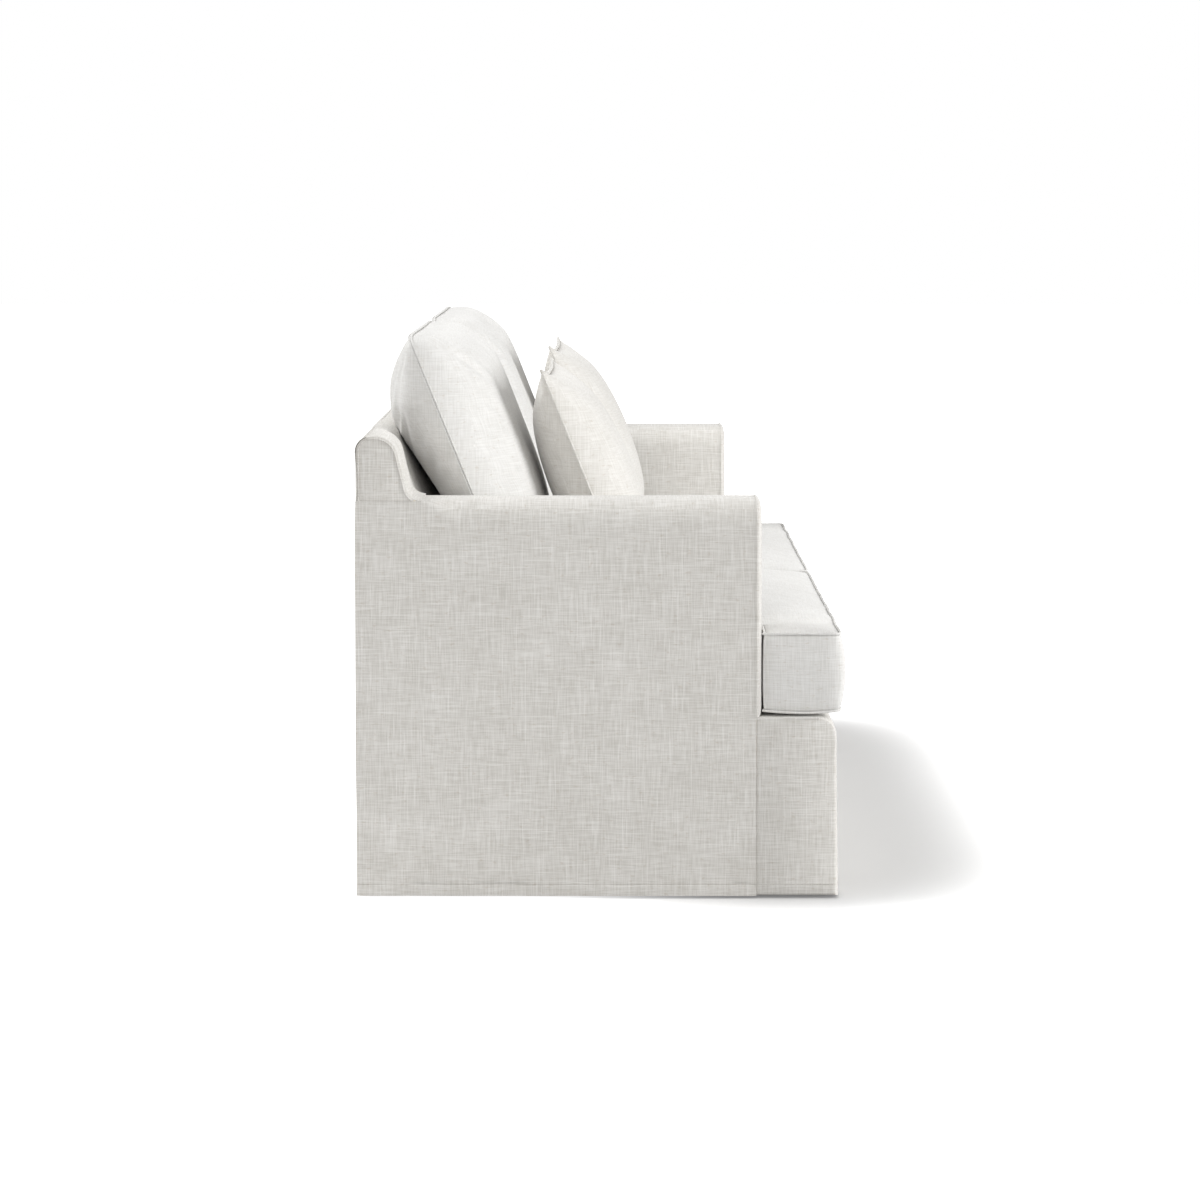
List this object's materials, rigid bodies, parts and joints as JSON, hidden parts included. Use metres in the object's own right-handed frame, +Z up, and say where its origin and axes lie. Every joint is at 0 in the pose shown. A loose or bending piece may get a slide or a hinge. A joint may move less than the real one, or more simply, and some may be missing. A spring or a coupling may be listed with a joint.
{
  "type": "two-seat sofa",
  "caption": "Slipcovered sofa with slim square arms, low wings, a raked back and a skirt to the floor, with loose box seat cushions, back cushions and throw pillows.",
  "frame": {"origin": "middle of the footprint on the floor", "axes": "+X along the sofa to the right seen from the front, +Y from front to back, +Z up"},
  "size_m": [2, 0.8329, 0.9485],
  "materials": {
    "linen": "off-white slubbed linen, matte",
    "cushion_linen": "off-white slubbed linen, matte",
    "pillow_linen": "cream linen, matte",
    "foam": "open-cell upholstery foam",
    "fibre": "fibre fill in a plain bag",
    "webbing": "woven webbing",
    "dust_cloth": "thin black non-woven cloth",
    "hardwood": "planed, unfinished",
    "leg_wood": "stained, satin lacquer",
    "steel": "zinc plated",
    "zip_tape": "woven tape with coil teeth",
    "zip_metal": "nickel plated"
  },
  "bodies": {
    "sofa": {"front_rail": "hardwood", "back_rail": "hardwood", "side_rail_left": "hardwood", "side_rail_right": "hardwood", "centre_stretcher": "hardwood", "tack_rail": "hardwood", "back_upright_centre": "hardwood", "back_upright_left": "hardwood", "back_upright_right": "hardwood", "back_top_rail": "hardwood", "wing_post_left": "hardwood", "wing_post_right": "hardwood", "arm_post_left": "hardwood", "arm_post_right": "hardwood", "arm_top_rail_left": "hardwood", "arm_top_rail_right": "hardwood", "corner_blocks": "hardwood", "leg_front_left": "leg_wood", "leg_front_right": "leg_wood", "leg_rear_left": "leg_wood", "leg_rear_right": "leg_wood", "leg_bolts": "steel", "dust_cover": "dust_cloth", "seat_webbing": "webbing", "back_webbing": "webbing", "deck_pad": "foam", "back_pad": "foam", "arm_pad_left": "foam", "arm_pad_right": "foam", "wing_pad_left": "foam", "wing_pad_right": "foam", "inside_back_cover": "linen", "outside_back_cover": "linen", "outside_arm_cover_left": "linen", "outside_arm_cover_right": "linen", "arm_cover_left": "linen", "arm_cover_right": "linen", "arm_facing_left": "linen", "arm_facing_right": "linen", "wing_cover_left": "linen", "wing_cover_right": "linen", "deck_cover": "linen", "front_border_cover": "linen"},
    "seat_cushion_left": {"seat_cushion_case_left": "cushion_linen", "seat_cushion_core_left": "foam", "seat_zip_left": "zip_tape"},
    "back_cushion_left": {"back_cushion_case_left": "cushion_linen", "back_cushion_fill_left": "fibre"},
    "throw_pillow_left": {"pillow_case_left": "pillow_linen", "pillow_fill_left": "fibre"},
    "zip_slider_left": {"zip_slider_left": "zip_metal"},
    "seat_cushion_right": {"seat_cushion_case_right": "cushion_linen", "seat_cushion_core_right": "foam", "seat_zip_right": "zip_tape"},
    "back_cushion_right": {"back_cushion_case_right": "cushion_linen", "back_cushion_fill_right": "fibre"},
    "throw_pillow_right": {"pillow_case_right": "pillow_linen", "pillow_fill_right": "fibre"},
    "zip_slider_right": {"zip_slider_right": "zip_metal"}
  },
  "joints": [
    {"name": "seat_cushion_left_pull", "type": "slide", "parent": "sofa", "child": "seat_cushion_left", "axis": [0, -1, 0], "range_m": [0, 0.45]},
    {"name": "seat_zip_left_run", "type": "slide", "parent": "seat_cushion_left", "child": "zip_slider_left", "axis": [-1, 0, 0], "range_m": [0, 0.682]},
    {"name": "back_cushion_left_lift", "type": "slide", "parent": "sofa", "child": "back_cushion_left", "axis": [0, 0.3746, 0.9272], "range_m": [0, 0.55]},
    {"name": "throw_pillow_left_lift", "type": "slide", "parent": "sofa", "child": "throw_pillow_left", "axis": [0, 0.3746, 0.9272], "range_m": [0, 0.5]},
    {"name": "seat_cushion_right_pull", "type": "slide", "parent": "sofa", "child": "seat_cushion_right", "axis": [0, -1, 0], "range_m": [0, 0.45]},
    {"name": "seat_zip_right_run", "type": "slide", "parent": "seat_cushion_right", "child": "zip_slider_right", "axis": [1, 0, 0], "range_m": [0, 0.682]},
    {"name": "back_cushion_right_lift", "type": "slide", "parent": "sofa", "child": "back_cushion_right", "axis": [0, 0.3746, 0.9272], "range_m": [0, 0.55]},
    {"name": "throw_pillow_right_lift", "type": "slide", "parent": "sofa", "child": "throw_pillow_right", "axis": [0, 0.3746, 0.9272], "range_m": [0, 0.5]}
  ]
}
